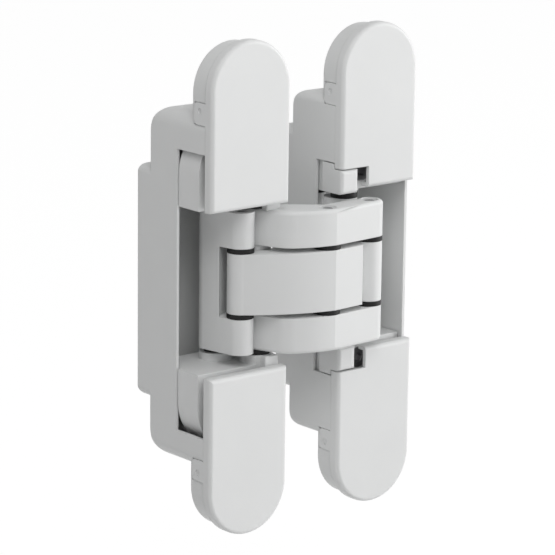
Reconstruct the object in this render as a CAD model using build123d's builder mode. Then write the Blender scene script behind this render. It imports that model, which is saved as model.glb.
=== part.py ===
from build123d import *
import math
import os

# Concealed hinge for a flush door, drawn open flat with the two leaves side by side.
# X runs across the leaves, Y into the wood and Z up. The origin is the middle of the
# frame leaf's screw pattern, on the seat at the back of its flange. Sizes are in
# millimetres.

# Leaves
leaf_length = 120.0
leaf_width = 23.5
leaf_spacing = 39.6
height_setting = 0.8
cap_thickness = 2.7
flange_thickness = 4.95
flange_end_inset = 0.9
flange_side_inset = 0.3
wall = 0.8
end_wall = 0.85
floor_thickness = 1.0

# Cases, depths taken from the front of the caps
frame_body_depth = 23.56
frame_body_play = 1.75
frame_end_corner = 4.0
frame_rear_corner = 6.5
frame_deep_half = 28.75
frame_deep_depth = 28.65
frame_notch_half = 34.3
frame_notch_depth = 13.35
frame_pocket_drop = 0.7
door_body_depth = 18.6
door_body_play = 3.05
door_end_corner = 2.4
door_rear_corner = 4.2
door_deep_half = 33.2
door_deep_depth = 24.1
door_notch_half = 26.5
door_notch_depth = 9.6
deep_end_corner = 2.4
deep_rear_corner = 2.0

# Caps
cap_setback = 1.4
cap_wall = 1.0
cap_skin = 1.0
cap_round = 1.0
nub_gap = 0.3
adjuster_window = 3.2
clip_centre = 43.1
clip_height = 5.2
clip_reach = 4.3
clip_thickness = 0.6
clip_clearance = 0.1
clip_corner = 1.2
clip_dimple_radius = 0.7
clip_dimple_depth = 0.25
clip_dimple_offset = 0.6

# Fixing screws and clamping screws
screw_hole_radius = 2.6
screw_sink_radius = 4.8
screw_hole_edge = 9.0
clamp_height = 33.7
clamp_boss_radius = 3.2
clamp_shank_radius = 1.5
clamp_head_radius = 2.75
clamp_head_height = 3.0
clamp_slot_play = 1.2
clamp_engagement = 4.2
clamp_clearance = 0.2
clamp_rim = 0.85
socket_radius = 1.4
socket_depth = 1.5

# Adjusting screws, each as its place across and its height beyond the carrier's face
adjuster_radius = 1.8
adjuster_head_radius = 2.6
adjuster_head_height = 2.2
adjuster_length = 8.0
adjuster_socket_radius = 1.25
frame_adjuster = (4.6, 5.8)
door_adjuster = (-2.2, 4.4)

# Arm levels, heights above and below the middle of the mechanism
middle_half = 7.4
washer_thickness = 1.2
arm_half = 17.4

# Carriers
frame_carrier_front = 5.2
door_carrier_front = 3.9
carrier_plate_rear = 12.9
carrier_clearance = 0.1
frame_carrier_half_width = 11.5
inner_half_width = 10.6
frame_pad_radius = 4.1
frame_pad_rise = 1.2
door_pad_radius = 3.9
door_pad_rise = 0.4
nub_width = 5.4
nub_height = 5.9
nub_round = 0.9
lug_width = 6.85
lug_front = 3.0
lug_rear = 7.3
lug_reach = 1.3

# Pivots, each as the distance across from the frame leaf's middle and the depth
# behind the caps. The last two belong to the door leaf and are taken from its middle.
outer_arm_pivot = (8.80, 8.35)
frame_link_pivot = (2.28, 15.86)
crossing_pivot = (21.60, -2.40)
frame_knuckle = (2.15, 6.45)
door_knuckle = (35.60, -1.40)
door_arm_pivot = (-6.85, 4.80)
door_link_pivot = (-8.11, 13.47)

# Arms, links and pins
knuckle_radius = 3.25
pin_radius = 1.4
link_pin_radius = 1.2
pin_clearance = 0.05
pin_recess = 0.3
pin_chamfer = 0.25
pin_sink_radius = 2.1
pin_sink_depth = 0.9
carrier_pin_depth = 6.5
pin_end_play = 0.2
washer_radius = 3.3
link_washer_radius = 3.0
arm_gap = 0.4
arm_corner = 0.9
crease_reach = 3.4
front_bow_radius = 27.0
front_bow_start = 6.0
outer_front_turn = 20.0
outer_front_bend = 6.0
centre_flat = 9.1
post_heel = 1.8
door_link_width = 3.8
door_link_bow = 5.05
frame_eye_radius = 2.65
door_eye_radius = 2.2
web_gap = 1.8
tail_pivot = (2.9, 19.6)
tail_radius = 2.0

# Slots that let the links' housing ends float in mid swing. The frame link has its
# slot round a fixed pin, and the door link's pin slides in the carriers' slots.
frame_slot_travel = 2.40
frame_slot_angle = -166.96
frame_slot_play = 0.55
frame_link_swing = 53.02
door_slot_travel = 2.70
door_slot_angle = -87.0
door_slot_play = 0.7

# Worked out from the values above
flange_front = -flange_thickness
face = flange_front - cap_thickness
half_width = leaf_width / 2
half_length = leaf_length / 2
screw_hole_height = half_length - screw_hole_edge
middle_z = height_setting
pocket_half_width = half_width - wall
bar_base = middle_half + washer_thickness
bar_height = arm_half - bar_base
pad_level = arm_half + washer_thickness
cap_edge = pad_level + cap_setback
frame_carrier_face = pad_level + frame_pad_rise
door_carrier_face = pad_level + door_pad_rise
nub_end = door_carrier_face + nub_height
nub_notch_width = nub_width + adjuster_window
nub_notch_height = nub_end + nub_gap - cap_edge
lug_top = nub_end + lug_reach
plate_rear = face + carrier_plate_rear
carrier_rear_end = clamp_height - height_setting - clamp_boss_radius - carrier_clearance
slot_end = clamp_height + height_setting + clamp_slot_play + clamp_head_radius + clamp_clearance
carrier_arc_centre = slot_end + clamp_rim - frame_carrier_half_width
frame_body_half = (
    carrier_arc_centre + frame_carrier_half_width + height_setting + frame_body_play + end_wall
)
door_body_half = carrier_arc_centre + inner_half_width + door_body_play + end_wall
upper = 1
lower = -1


def at_depth(point):
    """Turn an across-and-depth pair of the frame leaf into X and Y."""
    return (point[0], face + point[1])


def at_door_depth(point):
    """Turn an across-and-depth pair of the door leaf into X and Y."""
    return (leaf_spacing + point[0], face + point[1])


arm_root = at_depth(outer_arm_pivot)
link_root = at_depth(frame_link_pivot)
crossing = at_depth(crossing_pivot)
near_knuckle = at_depth(frame_knuckle)
far_knuckle = at_depth(door_knuckle)
door_root = at_door_depth(door_arm_pivot)
door_link_root = at_door_depth(door_link_pivot)
crease = (crossing[0], crossing[1] - crease_reach)


def stepped(point, angle, length):
    """The point reached from another one at an angle in degrees."""
    turn = math.radians(angle)
    return (point[0] + length * math.cos(turn), point[1] + length * math.sin(turn))


def heading(start, end):
    """Angle in degrees of the way from one point to another."""
    return math.degrees(math.atan2(end[1] - start[1], end[0] - start[0]))


def tangent_angle(start, centre, radius, turn):
    """Angle of the line from a point that touches a circle on one side."""
    lean = math.degrees(math.asin(radius / math.dist(start, centre)))
    return heading(start, centre) + turn * lean


def tangent_point(start, centre, radius, turn):
    """Where the line from a point touches a circle on one side."""
    reach = math.sqrt(math.dist(start, centre) ** 2 - radius**2)
    return stepped(start, tangent_angle(start, centre, radius, turn), reach)


def inner_corner(first, middle, last, offset):
    """Where the lines beside two joined spans meet, on their left."""
    turn = math.radians(heading(middle, last) - heading(first, middle)) / 2
    middle_angle = (heading(first, middle) + heading(middle, last)) / 2
    return stepped(middle, middle_angle + 90, offset / math.cos(turn))


def bow_point(turn):
    """Where the arms' bowed front has got to, this many degrees on from the crease."""
    middle = stepped(crease, 90 - front_bow_start, front_bow_radius)
    return stepped(middle, -90 - front_bow_start - turn, front_bow_radius)


def front_plane(x, y, z):
    """A drawing plane that faces the viewer, with its X across and its Y up."""
    return Plane(origin=(x, y, z), x_dir=(1, 0, 0), z_dir=(0, -1, 0))


def level(z):
    """A horizontal drawing plane at a height above the middle of the mechanism."""
    return Plane.XY.offset(middle_z + z)


# Cases


def rounded_block(x, z, half_long, half_wide, y_front, y_rear, end_corner, rear_corner):
    """A block with rounded corners at its ends and rounded rear end edges."""
    depth = y_rear - y_front
    with BuildPart() as block:
        with BuildSketch(front_plane(x, y_front, z)):
            RectangleRounded(2 * half_wide, 2 * half_long, end_corner)
        extrude(amount=-depth)
        with BuildSketch(Plane(origin=(x, y_rear, z), x_dir=(0, 1, 0), z_dir=(1, 0, 0))):
            with Locations((-depth / 2 - rear_corner, 0)):
                RectangleRounded(depth + 2 * rear_corner, 2 * half_long, rear_corner)
        extrude(amount=half_wide, both=True, mode=Mode.INTERSECT)
    return block.part


def make_pocket(x, z, body, deep, drop):
    """The space inside a case, with the clamping screws' bosses left standing in it."""
    body_half, body_depth, body_end_corner, body_rear_corner = body
    deep_half, deep_depth = deep
    with BuildPart() as pocket:
        add(
            rounded_block(
                x,
                z,
                body_half - end_wall,
                pocket_half_width,
                flange_front,
                face + body_depth - floor_thickness,
                body_end_corner - wall,
                body_rear_corner - floor_thickness,
            )
        )
        for side in (upper, lower):
            with BuildSketch(front_plane(x, plate_rear, z + side * clamp_height)):
                Circle(clamp_boss_radius)
            extrude(amount=-body_depth, mode=Mode.SUBTRACT)
        add(
            rounded_block(
                x,
                z - drop,
                deep_half - wall,
                pocket_half_width,
                flange_front,
                face + deep_depth - floor_thickness,
                deep_end_corner - wall,
                deep_rear_corner - floor_thickness,
            )
        )
    return pocket.part


def make_case(label, x, z, body, deep, notch, notch_sides, drop):
    """One leaf: flange, body and deep pocket in one casting, open at the front."""
    body_half, body_depth, body_end_corner, body_rear_corner = body
    deep_half, deep_depth = deep
    notch_half, notch_depth = notch
    body_outline = (flange_front, face + body_depth, body_end_corner, body_rear_corner)
    deep_outline = (flange_front, face + deep_depth, deep_end_corner, deep_rear_corner)
    pocket = make_pocket(x, z, body, deep, drop)
    with BuildPart() as case:
        with BuildSketch(front_plane(x, flange_front, z)):
            SlotOverall(
                leaf_length - 2 * flange_end_inset,
                leaf_width - 2 * flange_side_inset,
                rotation=90,
            )
        extrude(amount=-flange_thickness)
        add(rounded_block(x, z, body_half, half_width, *body_outline))
        add(rounded_block(x, z - drop, deep_half, half_width, *deep_outline))
        add(pocket, mode=Mode.SUBTRACT)
        # Side notches that the arms swing through
        for side in notch_sides:
            with BuildSketch(front_plane(x + side * half_width, flange_front, z - drop)):
                Rectangle(4 * wall, 2 * notch_half)
            extrude(amount=-(notch_depth - cap_thickness), mode=Mode.SUBTRACT)
        for side in (upper, lower):
            with Locations(front_plane(x, flange_front, z + side * screw_hole_height)):
                CounterSinkHole(screw_hole_radius, screw_sink_radius, flange_thickness)
            with Locations(front_plane(x, plate_rear, z + side * clamp_height)):
                Hole(clamp_shank_radius, clamp_engagement)
            # Seats for the caps' side clips
            for edge in (-1, 1):
                with BuildSketch(clip_plane(x, z, edge, side)):
                    Rectangle(
                        2 * (clip_reach + clip_clearance), clip_height + 2 * clip_clearance
                    )
                extrude(amount=clip_thickness + clip_clearance, both=True, mode=Mode.SUBTRACT)
    case.part.label = label
    return case.part


# Caps


def clip_plane(x, z, edge, side):
    """Drawing plane on a leaf's side at a clip, facing inwards, with its X into the wood."""
    return Plane(
        origin=(x + edge * half_width, flange_front, z + side * clip_centre),
        x_dir=(0, 1, 0),
        z_dir=(-edge, 0, 0),
    )


def cap_outline(side):
    """Half of the leaf's outline, beyond the mouth."""
    SlotOverall(leaf_length, leaf_width, rotation=90)
    with Locations((0, side * (cap_edge + half_length) / 2)):
        Rectangle(leaf_width, half_length - cap_edge, mode=Mode.INTERSECT)


def make_cap(label, x, z, side, notched):
    """A clip-on cap: a shallow shell with two clips that grip the flange's sides."""
    with BuildPart() as cap:
        with BuildSketch(front_plane(x, face, z)):
            cap_outline(side)
        extrude(amount=-cap_thickness)
        fillet(cap.faces().sort_by(Axis.Y)[0].edges(), cap_round)
        with BuildSketch(front_plane(x, face + cap_skin, z)):
            cap_outline(side)
            offset(amount=-cap_wall, mode=Mode.REPLACE)
        extrude(amount=-(cap_thickness - cap_skin), mode=Mode.SUBTRACT)
        if notched:
            # Window for the carrier's nub and the screw beside it
            with BuildSketch(front_plane(x - half_width, face, z + side * cap_edge)):
                Rectangle(2 * nub_notch_width, 2 * nub_notch_height)
            extrude(amount=-cap_thickness, mode=Mode.SUBTRACT)
        for edge in (-1, 1):
            with BuildSketch(clip_plane(x, z, edge, side)):
                RectangleRounded(2 * clip_reach, clip_height, clip_corner)
                with Locations((-(clip_reach + cap_wall) / 2, 0)):
                    Rectangle(clip_reach - cap_wall, clip_height, mode=Mode.SUBTRACT)
            extrude(amount=clip_thickness)
            with BuildSketch(clip_plane(x, z, edge, side)):
                with Locations((clip_reach / 2, -edge * side * clip_dimple_offset)):
                    Circle(clip_dimple_radius)
            extrude(amount=clip_dimple_depth, mode=Mode.SUBTRACT)
    cap.part.label = label
    return cap.part


# Carriers


def carrier_outline(side, level_z, half_wide):
    """Flat towards the mechanism and round at the far end."""
    span = carrier_arc_centre - level_z
    with Locations((0, side * carrier_arc_centre)):
        Circle(half_wide)
    with Locations((0, side * (level_z + half_wide + span / 2))):
        Rectangle(2 * half_wide, span + 2 * half_wide, mode=Mode.INTERSECT)
    with Locations((0, side * (level_z + span / 2))):
        Rectangle(2 * half_wide, span)


def adjuster_plane(x, carrier_z, plate_front, level_z, side, adjuster):
    """Drawing plane of an adjusting screw's head, on the carrier's front."""
    return front_plane(x + adjuster[0], plate_front, carrier_z + side * (level_z + adjuster[1]))


def make_carrier(
    label, x, z, side, level_z, plate_front, half_wide, floor, pivots, pad_radius, adjuster, nub
):
    """A block that holds the pivot pins, set in a leaf and clamped by one screw."""
    with BuildPart() as carrier:
        with BuildSketch(front_plane(x, plate_front, z)):
            carrier_outline(side, level_z, half_wide)
        extrude(amount=-(plate_rear - plate_front))
        with BuildSketch(front_plane(x, plate_rear, z)):
            with Locations((0, side * (level_z + carrier_rear_end) / 2)):
                Rectangle(2 * inner_half_width, carrier_rear_end - level_z)
        extrude(amount=-(floor - plate_rear))
        if nub:
            # The nub fills the cap's notch and the lug behind it carries the arm's pin
            with Locations(
                (
                    x - half_width + nub_width / 2,
                    (face + plate_front) / 2,
                    z + side * (level_z + nub_height / 2),
                )
            ):
                Box(nub_width, plate_front - face, nub_height)
            with Locations(
                (
                    x - half_width + lug_width / 2,
                    face + (lug_front + lug_rear) / 2,
                    z + side * (level_z + lug_top) / 2,
                )
            ):
                Box(lug_width, lug_rear - lug_front, lug_top - level_z)
            nub_edges = (
                carrier.edges()
                .filter_by(lambda edge: edge.center().Y < face + lug_front / 2)
                .filter_by(lambda edge: edge.center().X < x - half_width + nub_width + nub_round)
            )
            fillet(nub_edges, nub_round)
        # Raised pads under the washers
        with BuildSketch(level(side * pad_level)):
            with Locations(*pivots):
                Circle(pad_radius)
            if nub:
                make_hull()
            with Locations((x, (plate_front + floor) / 2)):
                Rectangle(2 * half_wide, floor - plate_front, mode=Mode.INTERSECT)
        extrude(amount=side * (level_z - pad_level) + z - middle_z)
        # Blind holes for the pins, the door link's one drawn out into a slot
        with BuildSketch(level(side * pad_level)):
            with Locations(pivots[0]):
                Circle(pin_radius)
            if nub:
                with Locations(stepped(pivots[1], door_slot_angle, door_slot_travel / 2)):
                    SlotCenterToCenter(
                        door_slot_travel,
                        2 * (link_pin_radius + door_slot_play),
                        rotation=door_slot_angle,
                    )
            else:
                with Locations(pivots[1]):
                    Circle(link_pin_radius)
        extrude(amount=side * (carrier_pin_depth + pin_end_play), mode=Mode.SUBTRACT)
        # Slot and sunk seat for the clamping screw, long enough for the height setting
        slot_plane = front_plane(x, plate_front, z + side * clamp_height)
        with BuildSketch(slot_plane):
            SlotCenterToCenter(
                2 * clamp_slot_play, 2 * (clamp_shank_radius + clamp_clearance), rotation=90
            )
        extrude(amount=-(plate_rear - plate_front), mode=Mode.SUBTRACT)
        with BuildSketch(slot_plane):
            SlotCenterToCenter(
                2 * clamp_slot_play, 2 * (clamp_head_radius + clamp_clearance), rotation=90
            )
        extrude(amount=-clamp_head_height, mode=Mode.SUBTRACT)
        # Stepped bore for the adjusting screw
        with Locations(adjuster_plane(x, z, plate_front, level_z, side, adjuster)):
            CounterBoreHole(
                adjuster_radius, adjuster_head_radius, adjuster_head_height, adjuster_length
            )
    carrier.part.label = label
    return carrier.part


# Screws


def make_socket_screw(label, plane, head_radius, head_height, shank_radius, length, socket):
    """A round-headed screw with a hexagon socket, head towards the viewer."""
    with BuildPart() as screw:
        with BuildSketch(plane):
            Circle(head_radius)
        extrude(amount=-head_height)
        with BuildSketch(plane):
            Circle(shank_radius)
        extrude(amount=-length)
        with BuildSketch(plane):
            RegularPolygon(socket, 6)
        extrude(amount=-socket_depth, mode=Mode.SUBTRACT)
    screw.part.label = label
    return screw.part


# Arms and links


def cut_sink(points):
    """Sink the outer ends of the pressed pins' holes."""
    sink_middle = arm_half - pin_sink_depth / 2
    places = [(x, y, middle_z + side * sink_middle) for x, y in points for side in (upper, lower)]
    with Locations(*places):
        Cylinder(pin_sink_radius, pin_sink_depth, mode=Mode.SUBTRACT)


def cut_round(points, radius):
    """Cut a round hole right through the arms' height at each point."""
    with Locations(*[(x, y, middle_z) for x, y in points]):
        Cylinder(radius, 2 * arm_half, mode=Mode.SUBTRACT)


def make_outer_arm():
    """Two equal bars, bowed in front and hollow behind, joined by a post at the frame leaf."""
    bend = stepped(bow_point(outer_front_turn), heading(bow_point(outer_front_turn - 1), bow_point(outer_front_turn)), knuckle_radius)
    with BuildPart() as arm:
        for side in (upper, lower):
            with BuildSketch(level(side * bar_base)) as bar:
                with BuildLine():
                    ThreePointArc(crease, bow_point(outer_front_turn / 2), bow_point(outer_front_turn))
                    Polyline(
                        bow_point(outer_front_turn),
                        bend,
                        tangent_point(bend, arm_root, knuckle_radius, 1),
                        arm_root,
                        stepped(arm_root, heading(arm_root, crossing) + 90, knuckle_radius),
                        inner_corner(arm_root, crossing, far_knuckle, knuckle_radius),
                        stepped(far_knuckle, heading(crossing, far_knuckle) + 90, knuckle_radius),
                        far_knuckle,
                        tangent_point(crease, far_knuckle, knuckle_radius, -1),
                        crease,
                    )
                make_face()
                corner = bar.vertices().sort_by_distance(Vertex(*bend, middle_z + side * bar_base))[0]
                fillet(corner, outer_front_bend)
                with Locations(arm_root, far_knuckle):
                    Circle(knuckle_radius)
                with Locations(door_root):
                    Circle(knuckle_radius + arm_gap, mode=Mode.SUBTRACT)
            extrude(amount=side * bar_height)
        with BuildSketch(level(-bar_base)):
            with Locations(arm_root):
                Circle(knuckle_radius)
        extrude(amount=2 * bar_base)
        for side in (upper, lower):
            rim = arm.faces().filter_by(Plane.XY).sort_by(Axis.Z)[-1 if side == upper else 0]
            fillet(rim.outer_wire().edges(), arm_corner)
        cut_round([arm_root], pin_radius + pin_clearance)
        cut_round([crossing, far_knuckle], pin_radius)
        cut_sink([crossing, far_knuckle])
    arm.part.label = "outer_arm"
    return arm.part


def make_centre_arm():
    """A deep bar between the outer arm's bars, with a full-height post at the door."""
    heel_angle = heading(crossing, door_root) + 90
    front_end = stepped(
        crease, tangent_angle(crease, far_knuckle, knuckle_radius, -1), centre_flat
    )
    bow_end = tangent_point(crease, near_knuckle, knuckle_radius, 1)
    with BuildPart() as arm:
        with BuildSketch(level(-middle_half)):
            with BuildLine():
                ThreePointArc(bow_end, bow_point(outer_front_turn), crease)
                Polyline(
                    crease,
                    front_end,
                    door_root,
                    stepped(door_root, heading(crossing, door_root) + 90, knuckle_radius),
                    inner_corner(near_knuckle, crossing, door_root, knuckle_radius),
                    stepped(near_knuckle, heading(near_knuckle, crossing) + 90, knuckle_radius),
                    near_knuckle,
                    bow_end,
                )
            make_face()
            with Locations(near_knuckle, door_root):
                Circle(knuckle_radius)
            with Locations(arm_root, far_knuckle):
                Circle(knuckle_radius + arm_gap, mode=Mode.SUBTRACT)
        extrude(amount=2 * middle_half)
        with BuildSketch(level(-arm_half)):
            with Locations(stepped(door_root, heel_angle, post_heel / 2)):
                SlotCenterToCenter(post_heel, 2 * knuckle_radius, rotation=heel_angle)
        extrude(amount=2 * arm_half)
        cut_round([door_root, near_knuckle, crossing], pin_radius + pin_clearance)
    arm.part.label = "centre_arm"
    return arm.part


def frame_eye_outline(radius):
    """Slotted eye of the frame link, in plan."""
    middle = stepped(link_root, frame_slot_angle, frame_slot_travel / 2)
    with Locations(middle):
        SlotCenterToCenter(frame_slot_travel, 2 * radius, rotation=frame_slot_angle)


def make_frame_link():
    """A C-shaped link: two prongs on the centre arm's knuckle and a web at the rear."""
    eye_end = stepped(link_root, frame_slot_angle, frame_slot_travel)
    with BuildPart() as link:
        with BuildSketch(level(-arm_half)):
            with Locations(near_knuckle):
                Circle(knuckle_radius)
            with Locations(link_root, eye_end):
                Circle(frame_eye_radius)
            with Locations(at_depth(tail_pivot)):
                Circle(tail_radius)
            make_hull()
        extrude(amount=2 * arm_half)
        # Room for the centre arm's end between the prongs, through its whole swing
        swing_limit = heading(near_knuckle, crossing) + frame_link_swing
        with BuildSketch(level(-bar_base)):
            with Locations(near_knuckle):
                Circle(knuckle_radius + web_gap)
            for turn in (heading(near_knuckle, crossing), swing_limit):
                with Locations(stepped(near_knuckle, turn, leaf_width / 2)):
                    Rectangle(leaf_width, 2 * (knuckle_radius + web_gap), rotation=turn)
            with Locations((near_knuckle[0], near_knuckle[1] - knuckle_radius)):
                Rectangle(4 * knuckle_radius, 2 * knuckle_radius)
        extrude(amount=2 * bar_base, mode=Mode.SUBTRACT)
        with BuildSketch(level(-arm_half)):
            frame_eye_outline(link_pin_radius + frame_slot_play)
        extrude(amount=2 * arm_half, mode=Mode.SUBTRACT)
        cut_round([near_knuckle], pin_radius)
    link.part.label = "frame_link"
    return link.part


def make_door_link():
    """A bowed link round the centre arm's post, with a full-height post at the rear."""
    chord_middle = (
        (far_knuckle[0] + door_link_root[0]) / 2,
        (far_knuckle[1] + door_link_root[1]) / 2,
    )
    bow_point = stepped(chord_middle, heading(far_knuckle, door_link_root) - 90, door_link_bow)
    with BuildPart() as link:
        with BuildSketch(level(-middle_half)):
            with BuildLine(mode=Mode.PRIVATE) as bow:
                ThreePointArc(far_knuckle, bow_point, door_link_root)
            SlotArc(bow.edges()[0], door_link_width)
            with Locations(far_knuckle):
                Circle(knuckle_radius)
        extrude(amount=2 * middle_half)
        with BuildSketch(level(-arm_half)):
            with Locations(door_link_root):
                Circle(door_eye_radius)
        extrude(amount=2 * arm_half)
        cut_round([far_knuckle], pin_radius + pin_clearance)
        cut_round([door_link_root], link_pin_radius)
    link.part.label = "door_link"
    return link.part


# Pins and washers


def make_pin(label, point, radius, half_pin, bevelled):
    """A plain pin, bevelled where its ends show."""
    with BuildPart() as pin:
        with BuildSketch(level(-half_pin)):
            with Locations(point):
                Circle(radius)
        extrude(amount=2 * half_pin)
        if bevelled:
            chamfer(pin.edges().filter_by(GeomType.CIRCLE), pin_chamfer)
    pin.part.label = label
    return pin.part


def make_washer(label, point, radius, bore, z_low):
    """A flat washer between two moving faces."""
    with BuildPart() as washer:
        with BuildSketch(level(z_low)):
            with Locations(point):
                Circle(radius)
                Circle(bore, mode=Mode.SUBTRACT)
        extrude(amount=washer_thickness)
    washer.part.label = label
    return washer.part


# The pieces

both_sides = (("upper", upper), ("lower", lower))
frame_floor = face + frame_body_depth - floor_thickness
door_floor = face + door_body_depth - floor_thickness
parts = [
    make_case(
        "frame_case",
        0,
        0,
        (frame_body_half, frame_body_depth, frame_end_corner, frame_rear_corner),
        (frame_deep_half, frame_deep_depth),
        (frame_notch_half, frame_notch_depth),
        (-1, 1),
        frame_pocket_drop,
    ),
    make_case(
        "door_case",
        leaf_spacing,
        middle_z,
        (door_body_half, door_body_depth, door_end_corner, door_rear_corner),
        (door_deep_half, door_deep_depth),
        (door_notch_half, door_notch_depth),
        (-1,),
        0,
    ),
    make_outer_arm(),
    make_centre_arm(),
    make_frame_link(),
    make_door_link(),
]
for word, side in both_sides:
    parts += [
        make_cap(f"frame_cap_{word}", 0, 0, side, False),
        make_cap(f"door_cap_{word}", leaf_spacing, middle_z, side, True),
        make_carrier(
            f"frame_carrier_{word}",
            0,
            0,
            side,
            frame_carrier_face,
            face + frame_carrier_front,
            frame_carrier_half_width,
            frame_floor,
            (arm_root, link_root),
            frame_pad_radius,
            frame_adjuster,
            False,
        ),
        make_carrier(
            f"door_carrier_{word}",
            leaf_spacing,
            middle_z,
            side,
            door_carrier_face,
            face + door_carrier_front,
            inner_half_width,
            door_floor,
            (door_root, door_link_root),
            door_pad_radius,
            door_adjuster,
            True,
        ),
    ]
    for leaf, x, z, plate_front, level_z, adjuster in (
        ("frame", 0, 0, face + frame_carrier_front, frame_carrier_face, frame_adjuster),
        (
            "door",
            leaf_spacing,
            middle_z,
            face + door_carrier_front,
            door_carrier_face,
            door_adjuster,
        ),
    ):
        parts += [
            make_socket_screw(
                f"{leaf}_clamp_screw_{word}",
                front_plane(x, plate_front, z + side * clamp_height),
                clamp_head_radius,
                clamp_head_height,
                clamp_shank_radius,
                plate_rear - plate_front + clamp_engagement,
                socket_radius,
            ),
            make_socket_screw(
                f"{leaf}_adjusting_screw_{word}",
                adjuster_plane(x, z, plate_front, level_z, side, adjuster),
                adjuster_head_radius,
                adjuster_head_height,
                adjuster_radius,
                adjuster_length,
                adjuster_socket_radius,
            ),
        ]

carrier_pin_half = pad_level + carrier_pin_depth
parts += [
    make_pin("outer_arm_pin", arm_root, pin_radius, carrier_pin_half, False),
    make_pin("frame_link_pin", link_root, link_pin_radius, carrier_pin_half, False),
    make_pin("door_arm_pin", door_root, pin_radius, carrier_pin_half, False),
    make_pin("door_link_pin", door_link_root, link_pin_radius, carrier_pin_half, False),
    make_pin("crossing_pin", crossing, pin_radius, arm_half - pin_recess, True),
    make_pin("frame_knuckle_pin", near_knuckle, pin_radius, arm_half - pin_recess, True),
    make_pin("door_knuckle_pin", far_knuckle, pin_radius, arm_half - pin_recess, True),
]
for word, side in both_sides:
    outer_level = arm_half if side == upper else -pad_level
    inner_level = middle_half if side == upper else -bar_base
    for name, point, radius, bore, z_low in (
        ("outer_arm", arm_root, washer_radius, pin_radius, outer_level),
        ("frame_link", link_root, link_washer_radius, link_pin_radius, outer_level),
        ("door_arm", door_root, washer_radius, pin_radius, outer_level),
        ("door_link", door_link_root, door_eye_radius, link_pin_radius, outer_level),
        ("crossing", crossing, washer_radius, pin_radius, inner_level),
        ("frame_knuckle", near_knuckle, washer_radius, pin_radius, inner_level),
        ("door_knuckle", far_knuckle, washer_radius, pin_radius, inner_level),
    ):
        parts.append(
            make_washer(f"{name}_washer_{word}", point, radius, bore + pin_clearance, z_low)
        )

os.makedirs("parts", exist_ok=True)
for part in parts:
    export_step(part, f"parts/{part.label}.step")
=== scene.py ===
import math

import bpy
from mathutils import Matrix, Vector


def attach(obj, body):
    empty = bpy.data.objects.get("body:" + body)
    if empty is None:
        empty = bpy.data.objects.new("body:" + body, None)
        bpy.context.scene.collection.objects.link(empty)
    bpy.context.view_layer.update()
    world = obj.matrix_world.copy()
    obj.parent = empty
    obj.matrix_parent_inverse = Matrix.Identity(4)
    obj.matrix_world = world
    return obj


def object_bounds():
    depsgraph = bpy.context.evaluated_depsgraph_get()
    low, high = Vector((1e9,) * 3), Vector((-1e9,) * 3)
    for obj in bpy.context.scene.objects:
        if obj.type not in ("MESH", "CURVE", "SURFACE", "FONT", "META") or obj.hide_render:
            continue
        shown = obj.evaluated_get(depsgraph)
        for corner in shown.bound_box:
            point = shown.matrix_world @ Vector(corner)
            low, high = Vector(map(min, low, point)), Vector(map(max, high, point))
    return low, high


# A concealed hinge, shown open flat under soft studio light. The frame's nodes keep
# their shapes and take their finishes here, and two small lugs are added. Lengths are
# in metres.

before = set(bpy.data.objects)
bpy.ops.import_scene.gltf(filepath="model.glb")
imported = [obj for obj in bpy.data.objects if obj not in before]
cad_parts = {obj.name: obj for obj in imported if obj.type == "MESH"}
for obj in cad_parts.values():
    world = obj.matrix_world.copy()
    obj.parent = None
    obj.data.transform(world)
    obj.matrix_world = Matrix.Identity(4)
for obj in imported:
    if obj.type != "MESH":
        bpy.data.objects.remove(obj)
cad_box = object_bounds()

# Camera
FRAME_SIZE = 555
FOCAL_PIXELS = 3049.9
SENSOR = 36.0
CAMERA_AZIMUTH = math.radians(39.376)
CAMERA_ELEVATION = math.radians(13.333)
CAMERA_ROLL = math.radians(0.687)
CAMERA_DISTANCE = 0.7392
CAMERA_TARGET = Vector((0.01705, 0.00305, -0.00098))

# Lamps
LAMP_DISTANCE = 1.2
KEY_SIZE = 0.6
KEY_LEVEL = 0.60
KEY_DIRECTION = Vector((0.853, -0.492, 0.174))
FILL_SIZE = 0.6
FILL_LEVEL = 0.26
FILL_DIRECTION = Vector((-0.354, -0.612, 0.707))
TOP_DISTANCE = 0.26
TOP_SIZE = 0.16
TOP_LEVEL = 0.11
TOP_DIRECTION = Vector((-0.42, -0.35, 0.84))
WORLD_LEVEL = 0.28

# Floor
FLOOR_SIZE = 6.0
FLOOR_DROP = 0.05
FLOOR_COLOUR = (0.9, 0.9, 0.9, 1.0)
FLOOR_WHITE_SHARE = 0.9
FLOOR_WHITE_LEVEL = 1.06

FLOOR_ROUGHNESS = 0.9

# Finishes. Colours and sizes of the slow clouds, the roughness that wanders, and the grain
GRAIN_SIZE = 0.00035
CLOUD_SIZE = 0.012
EDGE_ROUND = 0.0003
EDGE_SAMPLES = 6
GRAIN_DEPTH_SHARE = 1 / 6
GRAIN_DETAIL = 2.0
CLOUD_DETAIL = 4.0
ROUGHNESS_DETAIL = 3.0
PAINT = {
    "name": "satin_paint",
    "colour": (0.790, 0.797, 0.795, 1.0),
    "shade": (0.755, 0.762, 0.760, 1.0),
    "cloud_size": CLOUD_SIZE,
    "roughness": (0.38, 0.50),
    "roughness_size": CLOUD_SIZE / 3,
    "grain_size": GRAIN_SIZE,
    "grain_strength": 0.12,
    "settings": {"Specular IOR Level": 0.4},
}
STEEL = {
    "name": "ground_steel",
    "colour": (0.42, 0.42, 0.43, 1.0),
    "shade": (0.30, 0.30, 0.31, 1.0),
    "cloud_size": GRAIN_SIZE * 3,
    "roughness": (0.30, 0.42),
    "roughness_size": GRAIN_SIZE * 2,
    "grain_size": GRAIN_SIZE / 2,
    "grain_strength": 0.08,
    "settings": {"Metallic": 0.9},
}
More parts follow.
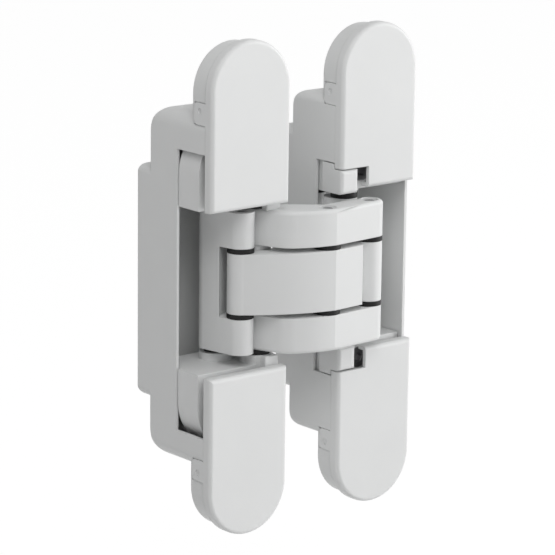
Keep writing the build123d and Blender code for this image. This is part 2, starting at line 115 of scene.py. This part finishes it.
WASHER = {
    "name": "black_washer",
    "colour": (0.006, 0.006, 0.006, 1.0),
    "shade": (0.011, 0.011, 0.011, 1.0),
    "cloud_size": GRAIN_SIZE * 4,
    "roughness": (0.40, 0.55),
    "roughness_size": GRAIN_SIZE * 3,
    "grain_size": GRAIN_SIZE / 2,
    "grain_strength": 0.05,
    "settings": {"Specular IOR Level": 0.25},
}

# Lugs of the frame's carriers, at the leaf's open side under the caps
LUG_CORNER = Vector((0.0115, -0.00435, 0.0178))
LUG_SIZE = Vector((0.0040, 0.0021, 0.0065))
LUG_ROUND = 0.0003
LUG_ROUND_SEGMENTS = 3


def new_material(name):
    """An empty node material with its Principled shader, and a way to link its nodes."""
    material = bpy.data.materials.new(name)
    material.use_nodes = True
    tree = material.node_tree
    return material, tree, tree.nodes["Principled BSDF"]


def noise_node(tree, size, detail):
    """Noise whose lumps have a real size, measured in the part's own frame."""
    place = tree.nodes.new("ShaderNodeTexCoord")
    noise = tree.nodes.new("ShaderNodeTexNoise")
    noise.inputs["Scale"].default_value = 1.0 / size
    noise.inputs["Detail"].default_value = detail
    tree.links.new(place.outputs["Object"], noise.inputs["Vector"])
    return noise


def add_grain(tree, shader, size, strength):
    """A fine raised grain over softly rounded edges."""
    edge = tree.nodes.new("ShaderNodeBevel")
    edge.samples = EDGE_SAMPLES
    edge.inputs["Radius"].default_value = EDGE_ROUND
    bump = tree.nodes.new("ShaderNodeBump")
    bump.inputs["Strength"].default_value = strength
    bump.inputs["Distance"].default_value = size * GRAIN_DEPTH_SHARE
    grain = noise_node(tree, size, GRAIN_DETAIL)
    tree.links.new(grain.outputs["Fac"], bump.inputs["Height"])
    tree.links.new(edge.outputs["Normal"], bump.inputs["Normal"])
    tree.links.new(bump.outputs["Normal"], shader.inputs["Normal"])


def add_clouds(tree, shader, colour, shade, size):
    """A slow, faint change of colour over the surface."""
    mix = tree.nodes.new("ShaderNodeMix")
    mix.data_type = "RGBA"
    mix.inputs["A"].default_value = shade
    mix.inputs["B"].default_value = colour
    clouds = noise_node(tree, size, CLOUD_DETAIL)
    tree.links.new(clouds.outputs["Fac"], mix.inputs["Factor"])
    tree.links.new(mix.outputs["Result"], shader.inputs["Base Color"])


def add_roughness(tree, shader, low, high, size):
    """Roughness that wanders between two values."""
    spread = tree.nodes.new("ShaderNodeMapRange")
    spread.inputs["To Min"].default_value = low
    spread.inputs["To Max"].default_value = high
    patches = noise_node(tree, size, ROUGHNESS_DETAIL)
    tree.links.new(patches.outputs["Fac"], spread.inputs["Value"])
    tree.links.new(spread.outputs["Result"], shader.inputs["Roughness"])


def finish_material(finish):
    """The node material of one finish."""
    material, tree, shader = new_material(finish["name"])
    add_clouds(tree, shader, finish["colour"], finish["shade"], finish["cloud_size"])
    add_roughness(tree, shader, *finish["roughness"], finish["roughness_size"])
    add_grain(tree, shader, finish["grain_size"], finish["grain_strength"])
    for setting, value in finish["settings"].items():
        shader.inputs[setting].default_value = value
    return material


def backdrop_share(tree, share):
    """How far a surface shows as plain white: seen directly, in gloss or through glass."""
    path = tree.nodes.new("ShaderNodeLightPath")
    total = None
    for ray in ("Is Camera Ray", "Is Glossy Ray", "Is Transmission Ray"):
        if total is None:
            total = path.outputs[ray]
            continue
        either = tree.nodes.new("ShaderNodeMath")
        either.operation = "MAXIMUM"
        tree.links.new(total, either.inputs[0])
        tree.links.new(path.outputs[ray], either.inputs[1])
        total = either.outputs[0]
    scaled = tree.nodes.new("ShaderNodeMath")
    scaled.operation = "MULTIPLY"
    scaled.inputs[1].default_value = share
    tree.links.new(total, scaled.inputs[0])
    return scaled.outputs[0]


def floor_material():
    """Pale matt floor that shows white and still takes a faint shadow."""
    material, tree, shader = new_material("pale_floor")
    shader.inputs["Base Color"].default_value = FLOOR_COLOUR
    shader.inputs["Roughness"].default_value = FLOOR_ROUGHNESS
    white = tree.nodes.new("ShaderNodeEmission")
    white.inputs["Strength"].default_value = FLOOR_WHITE_LEVEL
    mix = tree.nodes.new("ShaderNodeMixShader")
    output = tree.nodes["Material Output"]
    tree.links.new(backdrop_share(tree, FLOOR_WHITE_SHARE), mix.inputs["Fac"])
    tree.links.new(shader.outputs["BSDF"], mix.inputs[1])
    tree.links.new(white.outputs["Emission"], mix.inputs[2])
    tree.links.new(mix.outputs["Shader"], output.inputs["Surface"])
    return material


def set_world():
    """Even light from all round, and white where it is seen."""
    world = bpy.data.worlds.new("studio")
    world.use_nodes = True
    bpy.context.scene.world = world
    tree = world.node_tree
    light = tree.nodes["Background"]
    light.inputs["Strength"].default_value = WORLD_LEVEL
    white = tree.nodes.new("ShaderNodeBackground")
    white.inputs["Color"].default_value = (1.0, 1.0, 1.0, 1.0)
    light.inputs["Color"].default_value = (1.0, 1.0, 1.0, 1.0)
    mix = tree.nodes.new("ShaderNodeMixShader")
    tree.links.new(backdrop_share(tree, 1.0), mix.inputs["Fac"])
    tree.links.new(light.outputs["Background"], mix.inputs[1])
    tree.links.new(white.outputs["Background"], mix.inputs[2])
    tree.links.new(mix.outputs["Shader"], tree.nodes["World Output"].inputs["Surface"])


def add_lamp(name, direction, distance, size, level):
    """A square lamp whose level is the radiance it gives a white surface that faces it."""
    data = bpy.data.lights.new(name, "AREA")
    data.size = size
    data.energy = level * math.pi**2 * distance**2
    lamp = bpy.data.objects.new(name, data)
    lamp.location = CAMERA_TARGET + direction.normalized() * distance
    lamp.rotation_euler = direction.to_track_quat("Z", "Y").to_euler()
    bpy.context.scene.collection.objects.link(lamp)


def add_floor():
    """A wide floor under the part."""
    low = cad_box[0][2] - FLOOR_DROP
    bpy.ops.mesh.primitive_plane_add(size=FLOOR_SIZE, location=(0, 0, low))
    floor = bpy.context.object
    floor.name = "floor"
    floor.data.materials.append(floor_material())


def add_camera():
    """The camera stands to the front left and a little above."""
    back = Vector(
        (
            -math.sin(CAMERA_AZIMUTH) * math.cos(CAMERA_ELEVATION),
            -math.cos(CAMERA_AZIMUTH) * math.cos(CAMERA_ELEVATION),
            math.sin(CAMERA_ELEVATION),
        )
    )
    right = Vector((0, 0, 1)).cross(back).normalized()
    up = back.cross(right)
    rolled_right = right * math.cos(CAMERA_ROLL) + up * math.sin(CAMERA_ROLL)
    rolled_up = up * math.cos(CAMERA_ROLL) - right * math.sin(CAMERA_ROLL)
    data = bpy.data.cameras.new("camera")
    data.sensor_width = SENSOR
    data.lens = FOCAL_PIXELS / FRAME_SIZE * SENSOR
    camera = bpy.data.objects.new("camera", data)
    turn = Matrix((rolled_right, rolled_up, back)).transposed().to_4x4()
    camera.matrix_world = Matrix.Translation(CAMERA_TARGET + back * CAMERA_DISTANCE) @ turn
    bpy.context.scene.collection.objects.link(camera)
    bpy.context.scene.camera = camera


def dress_nodes():
    """Every node of the frame takes the finish of its kind."""
    paint = finish_material(PAINT)
    steel = finish_material(STEEL)
    washer = finish_material(WASHER)
    for name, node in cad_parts.items():
        material = paint
        if "washer" in name:
            material = washer
        elif name.endswith("_pin") or "_screw" in name:
            material = steel
        node.data.materials.clear()
        node.data.materials.append(material)


def add_lugs():
    """The block that steps forward from each of the frame's carriers."""
    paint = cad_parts["frame_carrier_upper"].data.materials[0]
    for name, side in (("upper", 1), ("lower", -1)):
        centre = LUG_CORNER + Vector((-LUG_SIZE.x, LUG_SIZE.y, LUG_SIZE.z)) / 2
        centre.z *= side
        bpy.ops.mesh.primitive_cube_add(size=1, location=centre)
        lug = bpy.context.object
        lug.name = f"frame_carrier_lug_{name}"
        lug.scale = LUG_SIZE
        bpy.ops.object.transform_apply(location=False, rotation=False, scale=True)
        rounding = lug.modifiers.new("rounding", "BEVEL")
        rounding.width = LUG_ROUND
        rounding.segments = LUG_ROUND_SEGMENTS
        lug.data.materials.append(paint)
        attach(lug, "frame_leaf")


dress_nodes()
add_lugs()
set_world()
add_floor()
add_lamp("key", KEY_DIRECTION, LAMP_DISTANCE, KEY_SIZE, KEY_LEVEL)
add_lamp("fill", FILL_DIRECTION, LAMP_DISTANCE, FILL_SIZE, FILL_LEVEL)
add_lamp("top", TOP_DIRECTION, TOP_DISTANCE, TOP_SIZE, TOP_LEVEL)
add_camera()
bpy.context.scene.view_settings.view_transform = "Standard"
